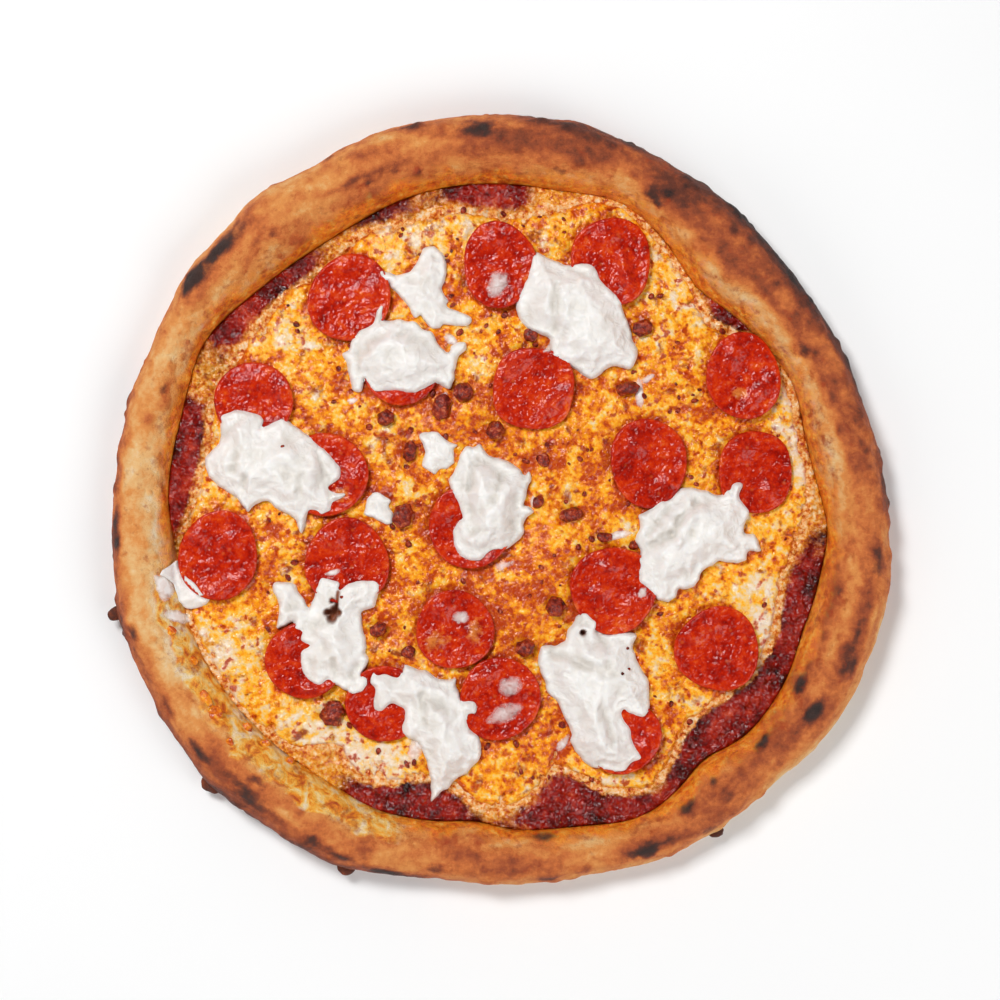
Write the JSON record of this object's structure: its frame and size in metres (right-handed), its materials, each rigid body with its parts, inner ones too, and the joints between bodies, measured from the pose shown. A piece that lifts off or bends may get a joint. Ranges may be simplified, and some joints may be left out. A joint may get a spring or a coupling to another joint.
{
  "type": "burrata pepperoni pizza",
  "caption": "Round baked pizza with a puffed charred rim, tomato sauce, melted cheese, pepperoni slices, torn burrata lumps and small bits of cooked meat.",
  "frame": {"origin": "centre of the bounding box on the flat underside of the dough", "axes": "+Z up out of the toppings, +X to the right and +Y up in the picture, which looks straight down"},
  "size_m": [0.3236, 0.3188, 0.0269],
  "materials": {
    "crust": "baked dough, matt, browned and charred in spots",
    "sauce": "cooked tomato sauce, satin with a wet sheen",
    "cheese": "melted cheese, oily sheen, with browned spots",
    "pepperoni": "cured sausage, glossy with oil",
    "burrata": "moist fresh cheese, soft sheen",
    "meat bit": "small cooked meat bits, glossy with oil"
  },
  "bodies": {
    "root": {"dough_crust": "crust", "tomato_sauce": "sauce", "melted_cheese": "cheese", "pepperoni_01": "pepperoni", "pepperoni_02": "pepperoni", "pepperoni_03": "pepperoni", "pepperoni_04": "pepperoni", "pepperoni_05": "pepperoni", "pepperoni_06": "pepperoni", "pepperoni_07": "pepperoni", "pepperoni_08": "pepperoni", "pepperoni_09": "pepperoni", "pepperoni_10": "pepperoni", "pepperoni_11": "pepperoni", "pepperoni_12": "pepperoni", "pepperoni_13": "pepperoni", "pepperoni_14": "pepperoni", "pepperoni_15": "pepperoni", "pepperoni_16": "pepperoni", "pepperoni_17": "pepperoni", "pepperoni_18": "pepperoni", "pepperoni_19": "pepperoni", "pepperoni_20": "pepperoni", "burrata_01": "burrata", "burrata_02": "burrata", "burrata_03": "burrata", "burrata_04": "burrata", "burrata_05": "burrata", "burrata_06": "burrata", "burrata_07": "burrata", "burrata_08": "burrata", "burrata_09": "burrata", "burrata_10": "burrata", "burrata_11": "burrata", "burrata_12": "burrata", "meat_bit_01": "meat bit", "meat_bit_02": "meat bit", "meat_bit_03": "meat bit", "meat_bit_04": "meat bit", "meat_bit_05": "meat bit", "meat_bit_06": "meat bit", "meat_bit_07": "meat bit", "meat_bit_08": "meat bit", "meat_bit_09": "meat bit", "meat_bit_10": "meat bit", "meat_bit_11": "meat bit", "meat_bit_12": "meat bit", "meat_bit_13": "meat bit"}
  },
  "joints": []
}
